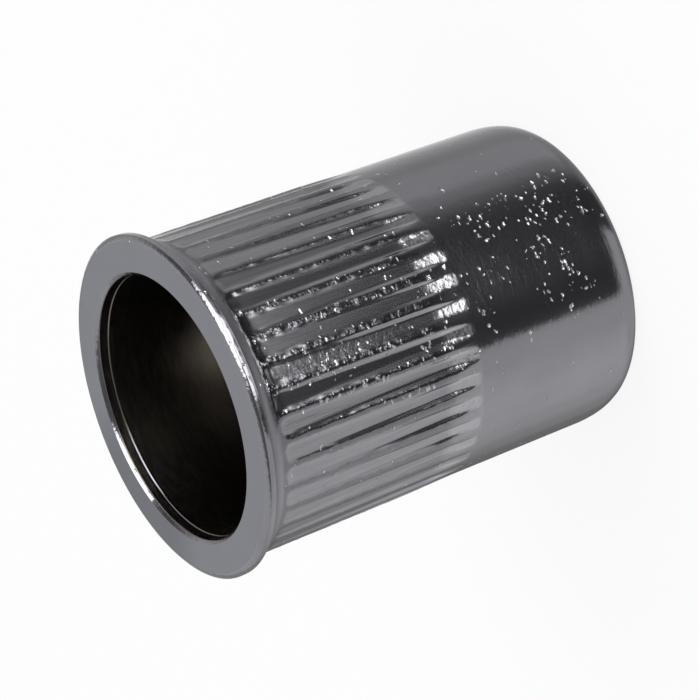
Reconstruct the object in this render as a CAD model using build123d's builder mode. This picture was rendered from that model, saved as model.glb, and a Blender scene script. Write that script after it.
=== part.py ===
"""A knurled blind rivet nut with a small flange, for an M8 screw.

One piece of cold-formed steel. It stands on its threaded end, with the flange
on top, and its axis is the Z axis. All sizes are in millimetres.
"""

from build123d import *
from math import radians, tan
import os

# Body
body_diameter = 11.0
body_length = 15.5
end_round_height = 1.0
end_round_drop = 0.20

# Flange, with a concave neck under it
flange_overhang = 0.45
flange_thickness = 0.30
flange_edge_radius = 0.10
neck_height = 0.50

# Thin-walled barrel, the part that folds up when the nut is set
barrel_wall = 0.95
barrel_depth = 8.2
shoulder_slope = 30
mouth_chamfer = 0.12
mouth_relief = 0.03
mouth_relief_depth = 0.45

# Thread in the thick end of the body. Its hole is bored at the minor diameter.
thread_diameter = 8.0
thread_pitch = 1.25
minor_diameter_pitches = 1.0825
thread_entry_clearance = 0.15

# Knurl: straight grooves pressed round the barrel, from just under the neck, each running
# out towards the thread. The metal that they push aside raises the body between them.
knurl_rise = 0.05
knurl_fade = 0.20
groove_count = 40
groove_neck_gap = 0.04
groove_length = 8.0
groove_width = 0.78
groove_head_rise = 0.18
groove_end_width = 0.52
groove_depth = 0.08
groove_runout = 1.40
groove_flank_angle = 45

# Sizes that follow from those above
body_radius = body_diameter / 2
flange_radius = body_radius + flange_overhang
neck_bottom = body_length - flange_thickness - neck_height
barrel_radius = body_radius - barrel_wall
barrel_bottom = body_length - barrel_depth
relief_radius = barrel_radius + mouth_relief
mouth_radius = relief_radius + mouth_chamfer
minor_radius = (thread_diameter - minor_diameter_pitches * thread_pitch) / 2
entry_radius = thread_diameter / 2 + thread_entry_clearance
entry_height = entry_radius - minor_radius
shoulder_height = (barrel_radius - minor_radius) * tan(radians(shoulder_slope))
groove_head = neck_bottom - groove_neck_gap
groove_tip = groove_head - groove_length
runout_start = groove_tip + groove_runout
groove_floor_radius = body_radius - groove_depth
crest_radius = body_radius + knurl_rise
knurl_end = groove_tip - knurl_fade

# The tool that presses one groove. Its outline, drawn on a plane just outside the body, is
# round at the head and narrows towards the tip, and its flanks slope inwards. A core taken
# out of the tool leaves the groove's floor, which climbs to the surface along the run-out.
tool_margin = 0.05
tool_widening = tool_margin * tan(radians(groove_flank_angle))
tool_end = groove_tip - (knurl_rise + tool_margin) * groove_runout / groove_depth
tool_half_width = groove_width / 2 + tool_widening
tool_half_end = groove_end_width / 2 + tool_widening
tool_radius = crest_radius + tool_margin
tool_depth = tool_radius - groove_floor_radius + tool_margin
tool_plane = Plane(origin=(tool_radius, 0, 0), x_dir=(0, -1, 0), z_dir=(-1, 0, 0))

with BuildPart() as groove_tool:
    with BuildSketch(tool_plane):
        with BuildLine():
            head_arc = ThreePointArc(
                (-tool_half_width, groove_head - groove_head_rise),
                (0, groove_head),
                (tool_half_width, groove_head - groove_head_rise),
            )
            Polyline(
                head_arc @ 1,
                (tool_half_end, tool_end),
                (-tool_half_end, tool_end),
                head_arc @ 0,
            )
        make_face()
    extrude(amount=tool_depth, taper=groove_flank_angle)
    with BuildSketch(Plane.XZ):
        with BuildLine():
            Polyline(
                (0, tool_end),
                (tool_radius, tool_end),
                (groove_floor_radius, runout_start),
                (groove_floor_radius, body_length),
                (0, body_length),
                close=True,
            )
        make_face()
    revolve(axis=Axis.Z, mode=Mode.SUBTRACT)

# The nut: half of its section is turned round the axis, and the grooves are pressed in
with BuildPart() as rivet_nut:
    with BuildSketch(Plane.XZ):
        with BuildLine():
            # Outside, from the threaded end up to the flange
            end_round = TangentArc(
                (body_radius, end_round_height),
                (body_radius - end_round_drop, 0),
                tangent=(0, -1),
            )
            neck = TangentArc(
                (crest_radius, neck_bottom),
                (flange_radius, neck_bottom + neck_height),
                tangent=(0, 1),
            )
            Polyline(
                end_round @ 0,
                (body_radius, knurl_end),
                (crest_radius, runout_start),
                neck @ 0,
            )
            rim = Line(neck @ 1, (flange_radius, body_length - flange_edge_radius))
            rim_round = TangentArc(
                rim @ 1,
                (flange_radius - flange_edge_radius, body_length),
                tangent=(0, 1),
            )
            # Flange face, mouth and barrel, then the thread's hole back to the end
            Polyline(
                rim_round @ 1,
                (mouth_radius, body_length),
                (relief_radius, body_length - mouth_chamfer),
                (relief_radius, body_length - mouth_relief_depth),
                (barrel_radius, body_length - mouth_relief_depth - mouth_relief),
                (barrel_radius, barrel_bottom),
                (minor_radius, barrel_bottom - shoulder_height),
                (minor_radius, entry_height),
                (entry_radius, 0),
                end_round @ 1,
            )
        make_face()
    revolve(axis=Axis.Z)
    with PolarLocations(0, groove_count):
        add(groove_tool.part, mode=Mode.SUBTRACT)

rivet_nut.part.label = "rivet_nut"

os.makedirs("parts", exist_ok=True)
export_step(rivet_nut.part, "parts/rivet_nut.step")
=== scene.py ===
# %% [markdown]
# # A rivet nut in zinc-plated steel
#
# A rivet nut is a short steel tube with a thread in one end. It is pushed into a hole in thin
# sheet metal from one side, and a tool pulls the thread towards the flange, so that the thin
# barrel folds up behind the sheet. The straight grooves round it, the knurl, bite into the
# hole and stop the nut turning.
#
# This lesson starts from the measured model of the nut and gives it the looks of a real one:
# rounded knurl grooves with ragged lands, a cut thread, broken edges and a bright plated
# skin. Everything is in metres, in the frame of the measured model: the nut stands on its
# threaded end, the flange is on top and its axis is the Z axis.

# %% Load the measured model
import math

import bmesh
import bpy
from mathutils import Matrix, Quaternion, Vector


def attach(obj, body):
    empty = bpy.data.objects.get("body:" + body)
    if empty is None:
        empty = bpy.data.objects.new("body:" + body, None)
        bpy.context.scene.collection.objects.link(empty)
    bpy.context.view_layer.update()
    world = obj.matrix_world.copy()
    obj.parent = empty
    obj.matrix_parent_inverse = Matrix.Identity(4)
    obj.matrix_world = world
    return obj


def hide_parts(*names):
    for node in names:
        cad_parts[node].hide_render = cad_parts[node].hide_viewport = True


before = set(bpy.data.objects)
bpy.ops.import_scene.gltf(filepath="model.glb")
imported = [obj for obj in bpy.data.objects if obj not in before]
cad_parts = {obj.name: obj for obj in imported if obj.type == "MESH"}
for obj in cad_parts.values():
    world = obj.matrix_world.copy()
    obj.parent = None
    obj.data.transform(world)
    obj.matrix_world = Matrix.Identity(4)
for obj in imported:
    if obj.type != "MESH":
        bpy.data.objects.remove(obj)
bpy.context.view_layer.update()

bpy.ops.object.select_all(action="DESELECT")
mm = 0.001

# %% [markdown]
# ## The camera
#
# The nut is seen from a little above its flange, from close by through a long lens, and the
# camera is rolled so far that the nut seems to lie on its side, with the flange to the left.
# A camera could be placed by hand in the viewport, but four numbers say the same thing and
# can be changed one at a time: the point that it looks at, its distance, its height above the
# horizon and its roll. A level camera is turned to look at the point first, and the roll is
# added about its own line of sight.

# %% Camera
view_azimuth = 1.7        # degrees round the axis, from the -Y side towards +X
view_elevation = 29.03
view_roll = -110.55
view_distance = 92.33 * mm
look_at = Vector((-0.269, 0.248, 8.197)) * mm


def round_axis(azimuth, radius, height):
    """A place by its angle round the nut's axis, counted from the camera's side."""
    turn = math.radians(view_azimuth + azimuth)
    return Vector((math.sin(turn) * radius, -math.cos(turn) * radius, height))


rise = math.radians(view_elevation)
to_camera = round_axis(0, math.cos(rise), math.sin(rise))
turned_point = Matrix.Rotation(math.radians(view_azimuth), 3, "Z") @ look_at
camera_data = bpy.data.cameras.new("camera")
camera_data.lens = 139.04
camera_data.sensor_width = 36
camera_data.clip_start = 5 * mm
camera_data.clip_end = 10
camera = bpy.data.objects.new("camera", camera_data)
bpy.context.scene.collection.objects.link(camera)
camera.rotation_mode = "QUATERNION"
level = (-to_camera).to_track_quat("-Z", "Y")
camera.rotation_quaternion = level @ Quaternion((0, 0, 1), math.radians(view_roll))
camera.location = turned_point + to_camera * view_distance
bpy.context.scene.camera = camera
bpy.context.scene.view_settings.view_transform = "Standard"
print("camera at, mm:", [round(v / mm, 1) for v in camera.location])

# %% [markdown]
# ## The colours
#
# Paint programs give colours as sRGB hex values, and the renderer wants linear light, so one
# function turns the first into the second. One more small function adds a node to a material
# with its settings and its links, which keeps each material short enough to read.

# %% Colour and node helpers


def linear(hex_colour):
    """A colour written as sRGB hex, as linear red, green, blue and alpha."""
    parts = [int(hex_colour[i : i + 2], 16) / 255 for i in (1, 3, 5)]
    return [p / 12.92 if p <= 0.04045 else ((p + 0.055) / 1.055) ** 2.4 for p in parts] + [1]


def add_node(tree, kind, settings=None, links=None):
    """Adds a node. A setting is a property's or an input's name, or an input's number."""
    node = tree.nodes.new("ShaderNode" + kind)
    for name, value in (settings or {}).items():
        if isinstance(name, str) and hasattr(node, name):
            setattr(node, name, value)
        else:
            node.inputs[name].default_value = value
    for name, source in (links or {}).items():
        tree.links.new(source, node.inputs[name])
    return node


def new_material(name):
    """An empty node material and its output node."""
    material = bpy.data.materials.new(name)
    material.use_nodes = True
    material.node_tree.nodes.clear()
    return material, add_node(material.node_tree, "OutputMaterial")


print("mid grey #808080 as linear light:", round(linear("#808080")[0], 3))

# %% [markdown]
# ## The floor and the light of the studio
#
# The nut stands on a sheet of white paper under a wide soft light. The paper could be lit
# until it burns out to white, but that would wash out the nut too. Here it is a pale surface
# at a plain level of light, and most of what the camera, a reflection or a transparent thing
# sees of it is plain white. The rest still takes the soft shadow.

# %% Floor


def looked_at(tree):
    """1 for what the camera, a reflection or a transparent thing sees, and 0 for soft light."""
    path = add_node(tree, "LightPath")
    seen = add_node(tree, "Math", {"operation": "ADD"},
                    {0: path.outputs["Is Camera Ray"], 1: path.outputs["Is Glossy Ray"]})
    seen = add_node(tree, "Math", {"operation": "ADD", "use_clamp": True},
                    {0: seen.outputs[0], 1: path.outputs["Is Transmission Ray"]})
    return seen.outputs[0]


bpy.ops.mesh.primitive_plane_add(size=3, location=(0, 0, -0.01 * mm))
floor = bpy.context.object
floor.name = "paper_floor"
paper, out = new_material("white paper, matt")
tree = paper.node_tree
share = add_node(tree, "Math", {"operation": "MULTIPLY", 1: 0.85}, {0: looked_at(tree)})
matt = add_node(tree, "BsdfDiffuse", {"Color": linear("#f7f7f7")})
white = add_node(tree, "Emission", {"Color": (1, 1, 1, 1), "Strength": 1})
mixed = add_node(tree, "MixShader",
                 links={0: share.outputs[0], 1: matt.outputs[0], 2: white.outputs[0]})
tree.links.new(mixed.outputs[0], out.inputs["Surface"])
floor.data.materials.append(paper)
floor.visible_glossy = False
print("floor:", [round(side, 2) for side in floor.dimensions[:2]], "m")

# %% [markdown]
# ## The sky and two soft lamps
#
# Round the paper the world is plain white to the camera and in reflections, and gives an even
# soft light. Two large square lamps, one strong and one weak, add a gentle direction. They
# aren't seen in reflections, because the dome below has all that the steel should mirror.

# %% World
world = bpy.data.worlds.new("soft studio")
bpy.context.scene.world = world
world.use_nodes = True
tree = world.node_tree
tree.nodes.clear()
soft = add_node(tree, "Background", {"Color": (0.97, 0.985, 1, 1), "Strength": 0.8})
white = add_node(tree, "Background", {"Color": (1, 1, 1, 1), "Strength": 1})
mixed = add_node(tree, "MixShader",
                 links={0: looked_at(tree), 1: soft.outputs[0], 2: white.outputs[0]})
add_node(tree, "OutputWorld", links={"Surface": mixed.outputs[0]})
print("world:", len(tree.nodes), "nodes")

# %% Lamps


def soft_lamp(name, azimuth, radius, height, size, level_of_light):
    """A square soft lamp that faces the nut. Its level is the light that it adds on the nut."""
    place = round_axis(azimuth, radius, height)
    data = bpy.data.lights.new(name, "AREA")
    data.size = size
    data.energy = level_of_light * math.pi**2 * (place.length**2)
    lamp = bpy.data.objects.new(name, data)
    bpy.context.scene.collection.objects.link(lamp)
    lamp.location = place
    aim = Vector((0, 0, 8 * mm)) - place
    lamp.rotation_mode = "QUATERNION"
    lamp.rotation_quaternion = aim.to_track_quat("-Z", "Y")
    lamp.visible_glossy = False
    return lamp


soft_lamp("key_softbox", 75, 160 * mm, 190 * mm, 130 * mm, 0.22)
soft_lamp("fill_softbox", -95, 200 * mm, 150 * mm, 150 * mm, 0.10)

# %% [markdown]
# ## A painted dome for the reflections
#
# Polished metal has hardly any look of its own: it shows what stands round it. A studio
# therefore has black, grey and white cards and lamps round a shiny part. Cards close to the
# nut would do it, but one big painted dome is easier to steer: it is far away, so what a spot
# of the nut mirrors depends only on the way the spot faces. The side of the nut, seen from
# above, mirrors a belt about 30 degrees below the horizon. A spot that tilts a few degrees
# up, such as the end of a groove or the lip of a pit, mirrors a higher belt, where there is
# a bright window, and sparkles.
#
# The dome is seen only in reflections, so it shades nothing and hides nothing. Its two
# texture coordinates are the angle round the nut and the angle above the horizon, and each
# belt has a colour ramp that runs round it.

# %% Dome
dome_radius = 600 * mm


def on_dome(u, v):
    """A place on the dome: u runs once round from behind, v from straight down to straight up."""
    climb = math.radians(-90 + 180 * v)
    out_from_axis, up = math.cos(climb) * dome_radius, math.sin(climb) * dome_radius
    return round_axis(-180 + 360 * u, out_from_axis, 8 * mm + up)


bpy.ops.mesh.primitive_grid_add(x_subdivisions=120, y_subdivisions=60, size=1)
dome = bpy.context.object
dome.name = "reflection_dome"
for corner in dome.data.vertices:
    corner.co = on_dome(corner.co.x + 0.5, corner.co.y + 0.5)
dome.visible_camera = False
dome.visible_diffuse = False
dome.visible_transmission = False
dome.visible_shadow = False
dome.select_set(False)
print("dome:", len(dome.data.polygons), "faces, radius", dome_radius, "m")

# %% [markdown]
# ## The dome's paint
#
# A picture could be painted on the dome, but ramps are quicker to change. Six ramps run round
# it, one above the other, each from pairs of an angle and a tone, and a soft change leads from
# one to the next. The window is in the third and fourth ramp, and its hard lower edge is what
# makes the ends of the grooves flash.

# %% Dome paint: where a point of it is, in degrees
painted, out = new_material("painted studio dome")
dome.data.materials.append(painted)
tree = painted.node_tree
where = add_node(tree, "UVMap")
uv = add_node(tree, "SeparateXYZ", links={0: where.outputs["UV"]})
place = add_node(tree, "TexCoord")
# The edges waver by up to 4 degrees up and down and 3 degrees sideways, as bent card does
uneven = add_node(tree, "TexNoise", {"Scale": 14.0, "Detail": 3.0}, {"Vector": place.outputs["Object"]})
shifts = add_node(tree, "SeparateColor", links={0: uneven.outputs["Color"]})
wobble = add_node(tree, "MapRange", {"To Min": -4.0, "To Max": 4.0}, {"Value": shifts.outputs[0]})
height_angle = add_node(tree, "Math", {"operation": "MULTIPLY_ADD", 1: 180.0},
                        {0: uv.outputs["Y"], 2: wobble.outputs[0]})
height_angle = add_node(tree, "Math", {"operation": "SUBTRACT", 1: 90.0}, {0: height_angle.outputs[0]})
nudge = add_node(tree, "MapRange", {"To Min": -0.008, "To Max": 0.008}, {"Value": shifts.outputs[1]})
round_it = add_node(tree, "Math", {"operation": "ADD"}, {0: uv.outputs["X"], 1: nudge.outputs[0]})


def belt(steps):
    """A ramp round the dome, from (angle, tone) pairs. Angle 0 is the camera's side."""
    tones = add_node(tree, "ValToRGB", links={0: round_it.outputs[0]})
    tones.color_ramp.interpolation = "EASE"
    ramp = tones.color_ramp.elements
    while len(ramp) < len(steps):
        ramp.new(0.5)
    for stop, (angle, tone) in zip(ramp, steps):
        stop.position = (angle + 180) / 360
        stop.color = (tone, tone, tone, 1)
    return tones.outputs[0]


def change(low, high, below, above):
    """Changes from one belt to the next between two angles above the horizon."""
    share = add_node(tree, "MapRange",
                     {"interpolation_type": "SMOOTHSTEP", "From Min": low, "From Max": high},
                     {"Value": height_angle.outputs[0]})
    both = add_node(tree, "MixRGB", links={0: share.outputs[0], "Color1": below, "Color2": above})
    return both.outputs[0]


print("places on the dome:", len(tree.nodes), "nodes")

# %% Dome paint: the belts, from the bottom up. A tone of 1 is four times white.
foot_belt = [(-180, 0.12), (0, 0.11), (180, 0.12)]
under = [(-180, 0.10), (-150, 0.08), (-100, 0.18), (-38, 0.19), (12, 0.18), (17, 0.022), (56, 0.02),
         (80, 0.09), (120, 0.12), (180, 0.10)]
side_belt = [(-180, 0.10), (-166, 0.04), (-150, 0.06), (-134, 0.115), (-118, 0.18), (-102, 0.215),
             (-86, 0.23), (-70, 0.215), (-54, 0.19), (-39, 0.185), (-36.5, 0.02), (-12, 0.018),
             (40, 0.016), (56, 0.028), (66, 0.06), (76, 0.105), (90, 0.155), (106, 0.145),
             (122, 0.115), (138, 0.135), (154, 0.17), (170, 0.235), (180, 0.22)]
low_window = [(-180, 0.12), (-150, 0.08), (-100, 0.21), (-60, 0.18), (-38, 0.19), (-24, 0.08),
              (-14, 0.10), (-8, 0.85), (38, 0.9), (46, 0.2), (60, 0.09), (76, 0.10), (90, 0.15),
              (180, 0.22)]
high_window = [(-180, 0.10), (-60, 0.18), (-34, 0.16), (-12, 0.12), (3, 0.2), (13, 0.95), (54, 0.95),
               (62, 0.25), (90, 0.2), (180, 0.10)]
window_top = [(-180, 0.2), (-60, 0.18), (-34, 0.16), (-12, 0.10), (3, 0.15), (13, 0.95), (54, 0.95),
              (62, 0.25), (120, 0.1), (150, 0.19), (180, 0.2)]
ceiling = [(-180, 0.2), (-105, 0.2), (-84, 0.06), (-30, 0.04), (10, 0.05), (60, 0.03), (120, 0.04),
           (145, 0.2), (180, 0.2)]
tone = change(-82, -64, belt(foot_belt), belt(under))
tone = change(-52, -42, tone, belt(side_belt))
tone = change(-27, -22.5, tone, belt(low_window))
tone = change(-8, -2, tone, belt(high_window))
tone = change(12, 20, tone, belt(window_top))
tone = change(28, 38, tone, belt(ceiling))
# A round lamp high on the camera's side, which the edges of the nut's mouth and flange mirror
lamp_azimuth, lamp_climb = 58, math.radians(65)
lamp_place = round_axis(lamp_azimuth, math.cos(lamp_climb), math.sin(lamp_climb)) * dome_radius
shift = add_node(tree, "VectorMath", {"operation": "SUBTRACT", 1: lamp_place}, {0: place.outputs["Object"]})
away = add_node(tree, "VectorMath", {"operation": "LENGTH"}, {0: shift.outputs[0]})
lit = add_node(tree, "MapRange", {"From Min": 0.40 * dome_radius, "From Max": 0.33 * dome_radius},
               {"Value": away.outputs["Value"]})
lamp_tone = (1.1, 1.1, 1.1, 1)
tone = add_node(tree, "MixRGB", {"Color2": lamp_tone}, {0: lit.outputs[0], "Color1": tone})
glow = add_node(tree, "Emission", {"Strength": 4.0}, {"Color": tone.outputs[0]})
tree.links.new(glow.outputs[0], out.inputs["Surface"])
print("dome's paint:", len(tree.nodes), "nodes")

# %% [markdown]
# ## The outside of the nut
#
# The outside is the same 40 times round: a groove and a half land on each side of it. So one
# strip, 9 degrees wide, is modelled and copied. Its edge is a line of points drawn with
# extrude, from the threaded end up to the flange's face. The line is spun round the axis in
# short turns, close together where a groove's flank will be and wide apart on its floor.

# %% Sizes of the outside, in millimetres: radii, heights and half widths
body, crest, rim_radius = 5.5, 5.545, 5.95      # the lands stand a little above the body
neck_bottom, neck_top, top = 14.7, 15.2, 15.5
groove_head, groove_tip, runout_start = 14.66, 6.66, 7.92
knurl_end, crest_full = 6.46, 8.5       # the lands rise out of the body between these heights
groove_half_width, groove_half_end = 0.31, 0.21      # at half depth, by the head and at the tip
head_rise, tip_rise = 0.30, 0.16        # how long the round ends of the outline are
flank_width, flank_end = 0.26, 0.20     # the flanks are steeper along the run-out
flank_low, flank_high = 7.4, 10.4       # and they change between these heights
floor_radius, pocket_radius, tip_radius = 5.507, 5.43, 5.504
head_slope = 0.42                       # how far the floor slopes down from its head
groove_count = 40
print("grooves, mm:", round(groove_head - groove_tip, 2), "long,", 2 * groove_half_width, "wide")

# %% The section, row by row, as radius and height


def arc(centre, radius, start, end, steps):
    """Points of the section on an arc, as radius and height, from one angle to another."""
    angles = [math.radians(start + (end - start) * i / steps) for i in range(steps + 1)]
    return [(centre[0] + radius * math.cos(a), centre[1] + radius * math.sin(a)) for a in angles]


def smooth(value):
    """An even S-curve from 0 to 1."""
    value = min(1, max(0, value))
    return value * value * (3 - 2 * value)


def crest_at(height):
    """The radius of the lands: they rise out of the body along the grooves' run-out."""
    return body + (crest - body) * smooth((height - knurl_end) / (crest_full - knurl_end))


end_round = [(5.345, 0.10), (5.395, 0.22), (5.435, 0.36), (5.467, 0.54), (5.489, 0.76), (body, 1.0)]
rows = [(5.22, 0.0), (5.268, 0.009), (5.303, 0.036)] + end_round
rows += [(body, 1.0 + 0.546 * i) for i in range(1, 11)]
# The rows of the knurl lie closest along the run-out and round the grooves' heads
heights = [6.56, 6.66, 6.76, 6.88, 7.0, 7.14, 7.28, 7.44, 7.6, 7.76, 7.92, 8.08, 8.22]
heights += [8.36 + 0.146 * i for i in range(41)]
heights += [14.28, 14.34, 14.40, 14.45, 14.50, 14.54, 14.58, 14.61, 14.64, 14.66, 14.68]
rows += [(crest_at(h), h) for h in heights]
neck_curve = 0.5125
rows += arc((crest + neck_curve, neck_bottom), neck_curve, 180, 180 - 77.3, 7)[:-1]
# The flange's edge is broken by a small soft bevel
rows += [(rim_radius, neck_top), (rim_radius, 15.27), (rim_radius, 15.362), (5.948, 15.373),
         (5.938, 15.388), (5.895, 15.422), (5.85, 15.454), (5.80, 15.481), (5.765, 15.4925),
         (5.735, 15.498), (5.71, top)]
print("points of the section:", len(rows))

# %% Draw the section's line
first_angle = math.radians(-4.5)


def section_point(radius, height, angle=first_angle):
    """A point of a section, in metres, at an angle round the axis."""
    return Vector((radius * math.cos(angle), radius * math.sin(angle), height)) * mm


bpy.ops.mesh.primitive_plane_add(size=1 * mm)
nut = bpy.context.object
nut.name = "rivet_nut_finished"
bpy.ops.object.mode_set(mode="EDIT")
bpy.ops.mesh.select_mode(type="VERT")
bpy.ops.mesh.merge(type="CENTER")
here = Vector((0, 0, 0))
for number, (radius, height) in enumerate(rows):
    there = section_point(radius, height)
    if number == 0:
        bpy.ops.transform.translate(value=there - here)
    else:
        bpy.ops.mesh.extrude_vertices_move(TRANSFORM_OT_translate={"value": there - here})
    here = there
print("the line ends at, mm:", [round(v / mm, 2) for v in here])

# %% Spin it into one strip
bpy.ops.mesh.select_all(action="SELECT")
half_strip = [(0.2, 1), (0.3, 1), (1.9, 5), (2.1, 2)]
for turn, steps in half_strip + half_strip[::-1]:
    bpy.ops.mesh.spin(steps=steps, angle=math.radians(turn), center=(0, 0, 0), axis=(0, 0, -1))
bpy.ops.object.mode_set(mode="OBJECT")
angles = [math.degrees(math.atan2(v.co.y, v.co.x)) for v in nut.data.vertices]
first, last = round(min(angles), 2), round(max(angles), 2)
print("one strip:", len(nut.data.polygons), "faces, from", first, "to", last, "degrees")

# %% [markdown]
# ## Pressing the groove
#
# A knurling tool rolls the grooves in. Each is about 0.6 mm wide, smooth inside, round at its
# head under the flange, and climbs back to the surface at the other end. A boolean cut could
# make them, but its edges would be knife-sharp and its faces untidy. Here the strip is pushed
# in instead: the rows are first drawn together to the groove's width at their height, then a
# vertex group says how far each point goes and a Displace modifier moves it. The curved climb
# at the run-out is what catches the light on a real nut.
#
# Scaling a row in edit mode would pull its points off the circle, and the polished steel
# would show it. So each point is turned about the axis instead, in a short loop.

# %% Draw the rows together to the groove's outline


def half_width_at(height):
    """Half the groove's width at half depth, in millimetres. It is round at both ends."""
    if height >= groove_head:
        return 0.02
    along = (groove_head - height) / (groove_head - groove_tip)
    width = groove_half_width + (groove_half_end - groove_half_width) * min(1, along)
    if groove_head - height < head_rise:
        left = 1 - (groove_head - height) / head_rise
        width *= math.sqrt(max(0.01, 1 - left * left))
    if height - groove_tip < tip_rise:
        left = 1 - max(0, height - groove_tip) / tip_rise
        width *= math.sqrt(max(0.3, 1 - left * left))
    return width


edge_column = 3.28                # degrees: the column of points in the middle of the flank
strip_edge = 4.45                 # degrees: the columns beyond it stay, because copies join there
squeeze_start = 5.3               # the height from which the rows draw together
tightest = 0.35                   # no row is drawn closer together than this share of its width
for vertex in nut.data.vertices:
    away = math.hypot(vertex.co.x, vertex.co.y)
    angle = math.atan2(vertex.co.y, vertex.co.x)
    height = vertex.co.z / mm
    if not squeeze_start < height < neck_bottom - 0.001 or abs(math.degrees(angle)) > strip_edge:
        continue
    wanted = math.degrees(half_width_at(max(height, groove_tip)) * mm / away)
    squeeze = max(tightest, wanted / edge_column)
    angle *= 1 + (squeeze - 1) * smooth((height - squeeze_start) / (groove_tip - squeeze_start))
    vertex.co = Vector((away * math.cos(angle), away * math.sin(angle), vertex.co.z))
print("half widths, mm:", [round(half_width_at(height), 3) for height in (14.5, 12, 9, 6.7)])

# %% Push the groove in


def floor_at(height):
    """The radius of the groove's floor: a little deeper at the end, then out on a curve."""
    if height > runout_start:
        along = (height - runout_start) / (groove_head - runout_start)
        return pocket_radius + (floor_radius - pocket_radius) * along
    climbed = (runout_start - height) / (runout_start - groove_tip)
    return pocket_radius + (tip_radius - pocket_radius) * (3 * climbed + climbed**2) / 4


def press_depth(point):
    """How far a point of the strip moves in, in millimetres."""
    height = point.z
    if not groove_tip < height < groove_head:
        return 0
    wider = smooth((height - flank_low) / (flank_high - flank_low))
    flank = flank_end + (flank_width - flank_end) * wider
    across = (half_width_at(height) + flank / 2 - abs(point.y)) / flank
    head = smooth((groove_head - height) / head_slope)
    deep = math.hypot(point.x, point.y) - floor_at(height)
    return max(0, deep) * smooth(across) * head


deepest = max(press_depth(v.co / mm) for v in nut.data.vertices)
groove_group = nut.vertex_groups.new(name="groove")
for vertex in nut.data.vertices:
    depth = press_depth(vertex.co / mm)
    if depth > 0:
        groove_group.add([vertex.index], depth / deepest, "REPLACE")
press = nut.modifiers.new("press", "DISPLACE")
press.direction = "X"
press.vertex_group = "groove"
press.mid_level = 0
press.strength = -deepest * mm
bpy.ops.object.modifier_apply(modifier="press")
print("deepest point of the groove under the lands, mm:", round(deepest, 3))

# %% Copy the strip 40 times round and join the copies
bpy.ops.object.mode_set(mode="EDIT")
bpy.ops.mesh.select_all(action="SELECT")
one_step = 360 / groove_count
bpy.ops.mesh.spin(steps=groove_count - 1, dupli=True, angle=math.radians(360 - one_step),
                  center=(0, 0, 0), axis=(0, 0, 1))
bpy.ops.mesh.select_all(action="SELECT")
bpy.ops.mesh.remove_doubles(threshold=0.002 * mm)
bpy.ops.object.mode_set(mode="OBJECT")
nut.select_set(False)
print("outside:", len(nut.data.vertices), "points,", len(nut.data.polygons), "faces")

# %% [markdown]
# ## The inside of the nut
#
# Behind the flange's face the barrel is a thin smooth tube, with a small broken edge and a
# shallow step at its mouth. A cone leads down to the hole of the thread, and a wider cone
# leads in from the other end. All this is round, so it starts as one circle at the mouth and
# goes on by extruding the ring and scaling it, which is quicker than a second line and spin.

# %% Barrel, shoulder and hole
barrel_radius, hole_radius = 4.55, 3.3234       # the hole has the thread's minor diameter
mouth = [(4.70, top), (4.685, 15.487), (4.645, 15.455), (4.60, 15.41), (4.583, 15.385), (4.58, 15.36)]
small_step = [(4.58, 15.07), (4.575, 15.05), (4.553, 15.03)]
barrel = [(barrel_radius, height) for height in (15.01, 13.0, 10.5, 8.4, 7.40)]
cone = [(4.535, 7.33), (4.49, 7.27), (3.40, 6.636), (3.345, 6.60)]
hole = [(hole_radius, height) for height in (6.56, 3.7, 0.845)]
entry = [(3.34, 0.81), (4.12, 0.03), (4.15, 0.0)]
inside = mouth + small_step + barrel + cone + hole + entry
bpy.ops.mesh.primitive_circle_add(vertices=160, radius=inside[0][0] * mm, location=(0, 0, top * mm))
bore = bpy.context.object
bore.name = "bore"
bpy.ops.object.transform_apply(location=True, rotation=True, scale=True)
bpy.ops.object.mode_set(mode="EDIT")
bpy.ops.mesh.select_all(action="SELECT")
for (radius, height), (next_radius, next_height) in zip(inside, inside[1:]):
    step = (0, 0, (next_height - height) * mm)
    bpy.ops.mesh.extrude_region_move(TRANSFORM_OT_translate={"value": step})
    scale = next_radius / radius
    bpy.ops.transform.resize(value=(scale, scale, 1), center_override=(0, 0, 0))
bpy.ops.object.mode_set(mode="OBJECT")
print("inside:", len(bore.data.polygons), "faces")

# %% Join the two and close the flange's face and the threaded end
nut.select_set(True)
bpy.context.view_layer.objects.active = nut
bpy.ops.object.join()
bpy.ops.object.mode_set(mode="EDIT")
for end_height in (top, 0):
    mesh = bmesh.from_edit_mesh(nut.data)
    bpy.ops.mesh.select_all(action="DESELECT")
    bpy.ops.mesh.select_mode(type="EDGE")
    for edge in mesh.edges:
        edge.select = edge.is_boundary and abs(edge.verts[0].co.z / mm - end_height) < 0.001
    mesh.select_flush_mode()
    bmesh.update_edit_mesh(nut.data)
    bpy.ops.mesh.bridge_edge_loops()
bpy.ops.mesh.select_all(action="SELECT")
bpy.ops.mesh.normals_make_consistent(inside=False)
bpy.ops.mesh.select_mode(type="VERT")
bpy.ops.object.mode_set(mode="OBJECT")


def measure(piece):
    """Open or doubled edges, and the volume in cubic millimetres."""
    mesh = bmesh.new()
    mesh.from_mesh(piece.data)
    faults = sum(1 for edge in mesh.edges if not edge.is_manifold)
    volume = mesh.calc_volume(signed=True) / mm**3
    mesh.free()
    return faults, round(volume, 1)


print("closed nut: faulty edges and volume:", measure(nut))

# %% [markdown]
# ## The thread
#
# The thread is M8, with a pitch of 1.25 mm. A tap cuts it into the hole, and it can be made
# the same way here: one tooth of the tap is drawn, the Screw modifier winds it up the axis,
# the ends are cut flat, and a Boolean modifier takes the tap out of the nut. That gives true
# starts and run-outs where the thread meets the two cones.

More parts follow.
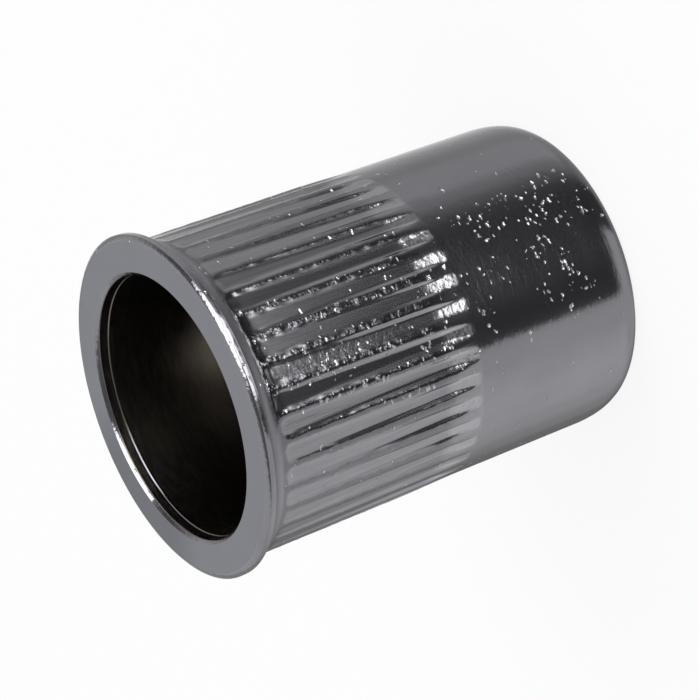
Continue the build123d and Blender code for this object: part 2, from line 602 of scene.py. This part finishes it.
# %% The tap
pitch = 1.25
tap_core = 3.10
tooth = [(tap_core, 0.0), (tap_core, 0.054), (4.0, 0.574), (4.0, 0.730), (tap_core, 1.25)]
bpy.ops.mesh.primitive_plane_add(size=1 * mm)
tap = bpy.context.object
tap.name = "tap"
bpy.ops.object.mode_set(mode="EDIT")
bpy.ops.mesh.select_mode(type="VERT")
bpy.ops.mesh.merge(type="CENTER")
here = Vector((0, 0, 0))
for number, (radius, height) in enumerate(tooth):
    there = section_point(radius, height - 3 * pitch, 0)
    if number == 0:
        bpy.ops.transform.translate(value=there - here)
    else:
        bpy.ops.mesh.extrude_vertices_move(TRANSFORM_OT_translate={"value": there - here})
    here = there
bpy.ops.object.mode_set(mode="OBJECT")
wind = tap.modifiers.new("wind", "SCREW")
wind.axis = "Z"
wind.angle = math.radians(360)
wind.screw_offset = pitch * mm
wind.iterations = 11
wind.steps = 96
wind.render_steps = 96
wind.use_merge_vertices = True
wind.merge_threshold = 0.002 * mm
bpy.ops.object.modifier_apply(modifier="wind")
bpy.ops.object.mode_set(mode="EDIT")
bpy.ops.mesh.select_all(action="SELECT")
bpy.ops.mesh.remove_doubles(threshold=0.002 * mm)
for cut_height, lower_end in ((-0.9, True), (7.6, False)):
    bpy.ops.mesh.select_all(action="SELECT")
    bpy.ops.mesh.bisect(plane_co=(0, 0, cut_height * mm), plane_no=(0, 0, 1), use_fill=True,
                        clear_inner=lower_end, clear_outer=not lower_end, threshold=0.0001 * mm)
bpy.ops.mesh.select_all(action="SELECT")
bpy.ops.mesh.normals_make_consistent(inside=False)
bpy.ops.object.mode_set(mode="OBJECT")
print("tap: faulty edges and volume:", measure(tap))

# %% Cut the thread
tap.select_set(False)
bpy.context.view_layer.objects.active = nut
nut.select_set(True)
cut = nut.modifiers.new("cut", "BOOLEAN")
cut.operation = "DIFFERENCE"
cut.solver = "EXACT"
cut.object = tap
bpy.ops.object.modifier_apply(modifier="cut")
bpy.data.objects.remove(tap)
print("threaded nut: faulty edges and volume:", measure(nut))

# %% [markdown]
# ## Ragged lands and softened shading
#
# The metal between two grooves is squeezed up by the tool and is never smooth: it is nicked
# and wavy. A Displace modifier with a fine cloud texture, kept to the lands by a vertex
# group, gives each land its own edge. The shading is then smooth over the rounds and stays
# crisp at the thread and at the edges of the two ends.

# %% Ragged lands
ragged_low, ragged_high = 6.9, 14.6
lands = nut.vertex_groups.new(name="lands")
for vertex in nut.data.vertices:
    point = vertex.co / mm
    if ragged_low < point.z < ragged_high and math.hypot(point.x, point.y) > 5.505:
        weight = min(1, (point.z - ragged_low) / 0.8) * min(1, (ragged_high - point.z) / 0.1)
        lands.add([vertex.index], weight, "REPLACE")
nicks = bpy.data.textures.new("nicks", "CLOUDS")
nicks.noise_scale = 0.22 * mm
nicks.noise_depth = 2
ragged = nut.modifiers.new("ragged", "DISPLACE")
ragged.texture = nicks
ragged.texture_coords = "LOCAL"
ragged.vertex_group = "lands"
ragged.mid_level = 0.62
ragged.strength = 0.026 * mm
bpy.ops.object.modifier_apply(modifier="ragged")
bpy.ops.object.shade_smooth_by_angle(angle=math.radians(34))
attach(nut, "root")
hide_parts("rivet_nut")
triangles = sum(len(face.vertices) - 2 for face in nut.data.polygons)
print("finished nut:", triangles, "triangles")

# %% [markdown]
# ## Zinc-plated steel on the rolled side
#
# The side was drawn and rolled, then plated with a few microns of bright zinc. The eye sees
# a dark mirror, a little blurred, with fine drawing marks round it. The tool burnished the
# groove floors lengthways, so they are satin. The lands between them were squeezed up and
# nicked, so they are broken; their colour is a little darker, partly bruised steel and partly
# painted shade. The lands and pits in the plating of the body sparkle: the pits are bumps,
# and their sparkle is a painted highlight, bright spots in the colour.
#
# One material covers it all. It reads where it is on the nut from the Object coordinates in
# millimetres: the distance from the axis tells a land from a floor. The small functions here
# add their nodes to the material at hand, which the names `tree` and `spot` stand for, so the
# two other finishes use them too.

# %% Plated side: where each finish lies


def spot_in_mm(tree):
    """The place of a point of the nut, in millimetres."""
    here = add_node(tree, "TexCoord")
    return add_node(tree, "VectorMath", {"operation": "SCALE", "Scale": 1000.0},
                    {0: here.outputs["Object"]})


side, out = new_material("zinc-plated steel, rolled and bright")
tree = side.node_tree
spot = spot_in_mm(tree)
xyz = add_node(tree, "SeparateXYZ", links={0: spot.outputs[0]})
flat = add_node(tree, "CombineXYZ", links={"X": xyz.outputs["X"], "Y": xyz.outputs["Y"]})
radius = add_node(tree, "VectorMath", {"operation": "LENGTH"}, {0: flat.outputs[0]})


def fade(low, high, value):
    """A soft step of a number of the material, from 0 at low to 1 at high."""
    step = add_node(tree, "MapRange",
                    {"interpolation_type": "SMOOTHSTEP", "From Min": low, "From Max": high},
                    {"Value": value})
    return step.outputs[0]


def times(one, other):
    """One number of the material times another, or times a plain number."""
    if isinstance(other, float):
        return add_node(tree, "Math", {"operation": "MULTIPLY", 1: other}, {0: one}).outputs[0]
    return add_node(tree, "Math", {"operation": "MULTIPLY"}, {0: one, 1: other}).outputs[0]


def about_zero(pattern):
    """An uneven pattern about 0 instead of 0.5, so that its bumps make no step where they end."""
    return add_node(tree, "Math", {"operation": "SUBTRACT", 1: 0.5}, {0: pattern.outputs[0]}).outputs[0]


height, distance = xyz.outputs["Z"], radius.outputs["Value"]
knurl = times(fade(6.55, 7.0, height), fade(14.72, 14.55, height))
land = times(fade(5.50, 5.53, distance), knurl)
# The crest line is the highest part of a land, and all that lies lower is a groove
crest_line = times(fade(5.522, 5.538, distance), times(fade(7.0, 8.4, height), knurl))
grooved = times(fade(5.532, 5.508, distance), times(fade(6.6, 6.9, height), knurl))
run_out = times(times(fade(5.506, 5.490, distance), fade(6.62, 6.78, height)), fade(8.3, 7.7, height))
neck = times(times(fade(14.56, 14.86, height), fade(15.24, 15.16, height)), fade(5.3, 5.4, distance))
rim = fade(15.25, 15.35, height)
# The plain part of the body lies below the knurl
plain = fade(6.9, 6.6, height)
print("places of the finishes:", len(tree.nodes), "nodes")

# %% Plated side: marks, pits and nicks
# Drawing marks are 0.02 to 0.05 mm apart on the real nut. They are drawn 0.1 mm apart to show.
stretch = add_node(tree, "Mapping", {"Scale": (0.8, 0.8, 9.0)}, {"Vector": spot.outputs[0]})
marks = add_node(tree, "TexNoise", {"Scale": 1.0, "Detail": 3.0, "Roughness": 0.6},
                 {"Vector": stretch.outputs[0]})
# The plating is a little uneven, in short strokes round the nut 0.1 mm apart
short = add_node(tree, "Mapping", {"Scale": (3.2, 3.2, 8.0)}, {"Vector": spot.outputs[0]})
strokes = add_node(tree, "TexNoise", {"Scale": 1.0, "Detail": 2.0}, {"Vector": short.outputs[0]})
# Burnishing lines along the groove floors, 0.06 mm apart
along = add_node(tree, "Mapping", {"Scale": (16.0, 16.0, 0.7)}, {"Vector": spot.outputs[0]})
lines = add_node(tree, "TexNoise", {"Scale": 1.0, "Detail": 2.0}, {"Vector": along.outputs[0]})
# Clouds 2 mm across, where the plating is duller or brighter, and a grain 0.25 mm across
clouds = add_node(tree, "TexNoise", {"Scale": 0.55, "Detail": 3.0}, {"Vector": spot.outputs[0]})
grain = add_node(tree, "TexNoise", {"Scale": 4.2, "Detail": 2.0, "Roughness": 0.5},
                 {"Vector": spot.outputs[0]})
# Pits 0.1 to 0.25 mm across, longer round the nut than along it and bent out of shape
squeeze_pits = add_node(tree, "Mapping", {"Scale": (1.0, 1.0, 1.5)}, {"Vector": spot.outputs[0]})
bent = add_node(tree, "VectorMath", {"operation": "MULTIPLY_ADD", 1: (0.32, 0.32, 0.32)},
                {0: grain.outputs["Color"], 2: squeeze_pits.outputs[0]})
pits = add_node(tree, "TexVoronoi", {"feature": "F1", "Scale": 3.9}, {"Vector": bent.outputs[0]})
chance = add_node(tree, "SeparateColor", links={0: pits.outputs["Color"]})
pit_size = add_node(tree, "MapRange", {"To Min": 0.20, "To Max": 0.50}, {"Value": chance.outputs[1]})
pit_shape = add_node(tree, "Math", {"operation": "DIVIDE"},
                     {0: pits.outputs["Distance"], 1: pit_size.outputs[0]})
pit_shape = add_node(tree, "MapRange", {"From Min": 1.0, "From Max": 0.15}, {"Value": pit_shape.outputs[0]})
bunches = add_node(tree, "TexNoise", {"Scale": 1.3, "Detail": 1.0}, {"Vector": spot.outputs[0]})
bunched = fade(0.42, 0.58, bunches.outputs[0])
print("marks, pits and nicks:", len(tree.nodes), "nodes")

# %% Plated side: patches where the plating is pitted and painted with sparkles


def patch(azimuth, height, reach, tall):
    """1 in the middle of a patch of the nut, 0 outside it. Sizes in millimetres."""
    centre = round_axis(azimuth, body, height)
    shift = add_node(tree, "VectorMath", {"operation": "SUBTRACT", 1: centre}, {0: spot.outputs[0]})
    shape = add_node(tree, "VectorMath", {"operation": "DIVIDE", 1: (reach, reach, tall)},
                     {0: shift.outputs[0]})
    away = add_node(tree, "VectorMath", {"operation": "LENGTH"}, {0: shape.outputs[0]})
    return fade(1.0, 0.4, away.outputs["Value"])


def larger(one, other):
    """The larger of two numbers of the material."""
    return add_node(tree, "Math", {"operation": "MAXIMUM"}, {0: one, 1: other}).outputs[0]


# Each patch is an angle round the nut, a height, and how far it reaches sideways and up
pitted = patch(18, 1.9, 1.1, 2.3)
for place in ((27, 2.4, 0.9, 1.9), (24, 4.7, 1.0, 1.3), (8.5, 3.4, 0.7, 0.9), (-7, 2.7, 1.3, 1.6),
              (-2, 5.6, 1.4, 1.4), (-12, 8.2, 0.7, 1.0), (-3, 12.0, 0.9, 3.4), (14, 8.0, 1.0, 1.4)):
    pitted = larger(pitted, patch(*place))
in_bunches = times(pitted, bunched)
# The lands are nicked too and painted with bright sparkles, most of all on the camera's side
on_land = add_node(tree, "Math", {"operation": "MULTIPLY_ADD", 1: 0.5, 2: 0.08},
                   {0: patch(0, 10.4, 3.6, 6.0)})
on_land = times(on_land.outputs[0], land)
share_of_pits = add_node(tree, "Math", {"operation": "MULTIPLY_ADD", 1: 0.85}, {0: in_bunches, 2: on_land})
share_of_pits = add_node(tree, "Math", {"operation": "ADD", 1: 0.04}, {0: share_of_pits.outputs[0]})
kept = add_node(tree, "Math", {"operation": "LESS_THAN"}, {0: chance.outputs[0], 1: share_of_pits.outputs[0]})
# Each pit is also a painted sparkle: below, its mask paints the colour bright
pit_and_painted_sparkle = times(pit_shape.outputs[0], kept.outputs[0])
print("side material so far:", len(tree.nodes), "nodes")

# %% Plated side: colour and roughness
colour = add_node(tree, "MixRGB", {"Color1": linear("#88888d"), "Color2": linear("#97979c")},
                  {0: clouds.outputs[0]})
floor_colour = add_node(tree, "MixRGB", {"Color1": linear("#86868a"), "Color2": linear("#a2a2a6")},
                        {0: lines.outputs[0]})
colour = add_node(tree, "MixRGB",
                  links={0: grooved, "Color1": colour.outputs[0], "Color2": floor_colour.outputs[0]})
# Where a groove runs out the steel is painted a little brighter, a painted highlight on the run-out.
# The lands are painted a little darker, partly bruised steel and partly painted shade, and the pits are
# painted bright, a painted sparkle.
for share, hex_colour in ((run_out, "#acacb0"), (crest_line, "#7a797e"), (pit_and_painted_sparkle, "#d2d2d6")):
    colour = add_node(tree, "MixRGB", {"Color2": linear(hex_colour)}, {0: share, "Color1": colour.outputs[0]})
rough = add_node(tree, "MapRange", {"To Min": 0.10, "To Max": 0.17}, {"Value": clouds.outputs[0]})
# The floors are satin, and the neck, which no tool rubs, is duller still
for share, satin in ((grooved, 0.16), (neck, 0.42)):
    rough = add_node(tree, "Mix", {"data_type": "FLOAT", 3: satin}, {0: share, 2: rough.outputs[0]})
print("with colour and roughness:", len(tree.nodes), "nodes")

# %% Plated side: bumps
# Steel that was broken or squeezed has a coarse grain: on the crest lines, the flange's edge,
# the run-outs and one mottled groove. Depths are in millimetres.
mottled = times(patch(-3, 11.6, 0.75, 3.6), 0.5)
broken = larger(larger(larger(crest_line, rim), run_out), mottled)
normal = add_node(tree, "Bump", {"Strength": 1.0, "Distance": 0.0022 * mm},
                  {"Height": times(about_zero(marks), plain)})
for depth, pattern, share in ((0.004, strokes, plain), (0.002, lines, grooved), (0.014, grain, broken)):
    normal = add_node(tree, "Bump", {"Strength": 1.0, "Distance": depth * mm},
                      {"Height": times(about_zero(pattern), share), "Normal": normal.outputs[0]})
normal = add_node(tree, "Bump", {"Strength": 1.0, "Distance": 0.03 * mm, "invert": True},
                  {"Height": pit_and_painted_sparkle, "Normal": normal.outputs[0]})


def plate(colour, rough, normal):
    """Zinc plate with this colour, roughness and bumps, as the surface of the material at hand."""
    zinc = add_node(tree, "BsdfPrincipled", {"Metallic": 1.0},
                    {"Base Color": colour.outputs[0], "Roughness": rough.outputs[0],
                     "Normal": normal.outputs[0]})
    tree.links.new(zinc.outputs[0], out.inputs["Surface"])
    print("finish:", len(tree.nodes), "nodes")


plate(colour, rough, normal)

# %% [markdown]
# ## Zinc-plated steel on the pressed face
#
# The flange's face was pressed flat in a die, so it is satin: the same metal with a fine
# even grain, which blurs the reflections into one soft tone. The threaded end has it too.

# %% Plated face
face_finish, out = new_material("zinc-plated steel, pressed satin")
tree = face_finish.node_tree
spot = spot_in_mm(tree)
clouds = add_node(tree, "TexNoise", {"Scale": 0.5, "Detail": 3.0}, {"Vector": spot.outputs[0]})
grain = add_node(tree, "TexNoise", {"Scale": 14.0, "Detail": 3.0}, {"Vector": spot.outputs[0]})
colour = add_node(tree, "MixRGB", {"Color1": linear("#85878d"), "Color2": linear("#8d8f96")},
                  {0: clouds.outputs[0]})
# The face is painted a little darker along one stretch, a painted shade in its soft reflection
colour = add_node(tree, "MixRGB", {"Color2": linear("#76787e")},
                  {0: patch(-150, top, 4.2, 4.2), "Color1": colour.outputs[0]})
rough = add_node(tree, "MapRange", {"To Min": 0.26, "To Max": 0.36}, {"Value": grain.outputs[0]})
normal = add_node(tree, "Bump", {"Strength": 1.0, "Distance": 0.002 * mm}, {"Height": grain.outputs[0]})
plate(colour, rough, normal)

# %% [markdown]
# ## Zinc-plated steel in the bore
#
# The inside is painted darker, a painted shade of the deep hole, and is duller, with the
# drawing marks left in it. Along one stretch the small step inside the mouth is painted
# lighter and made smoother, a painted glint behind the mouth's edge.

# %% Plated bore
bore_finish, out = new_material("zinc-plated steel, drawn bore")
tree = bore_finish.node_tree
spot = spot_in_mm(tree)
stretch = add_node(tree, "Mapping", {"Scale": (1.5, 1.5, 7.0)}, {"Vector": spot.outputs[0]})
marks = add_node(tree, "TexNoise", {"Scale": 1.0, "Detail": 3.0}, {"Vector": stretch.outputs[0]})
colour = add_node(tree, "MixRGB", {"Color1": linear("#6f6b66"), "Color2": linear("#87827b")},
                  {0: marks.outputs[0]})
rough = add_node(tree, "MapRange", {"To Min": 0.16, "To Max": 0.3}, {"Value": marks.outputs[0]})
# A painted glint: one stretch of the small step is painted lighter and made smoother
painted_glint = patch(-145, 15.04, 4.0, 0.12)
colour = add_node(tree, "MixRGB", {"Color2": linear("#909095")}, {0: painted_glint, "Color1": colour.outputs[0]})
rough = add_node(tree, "Mix", {"data_type": "FLOAT", 3: 0.12}, {0: painted_glint, 2: rough.outputs[0]})
normal = add_node(tree, "Bump", {"Strength": 1.0, "Distance": 0.002 * mm}, {"Height": marks.outputs[0]})
plate(colour, rough, normal)

# %% [markdown]
# ## Each finish on its own faces
#
# The nut stays one mesh. Its faces are picked by where they lie: the two flat ends, the inside
# behind the mouth's broken edge, and all the rest.

# %% Put the finishes on
inside_radius, inside_top = 4.9, 15.40          # in millimetres
nut.data.materials.clear()
for finish in (side, face_finish, bore_finish):
    nut.data.materials.append(finish)
for face in nut.data.polygons:
    centre = face.center / mm
    out_from_axis = math.hypot(centre.x, centre.y)
    if centre.z > top - 0.001 or centre.z < 0.001:
        face.material_index = 1
    elif out_from_axis < inside_radius and centre.z < inside_top:
        face.material_index = 2
    else:
        face.material_index = 0
counts = [sum(1 for face in nut.data.polygons if face.material_index == i) for i in range(3)]
print("faces of the side, the ends and the inside:", counts)
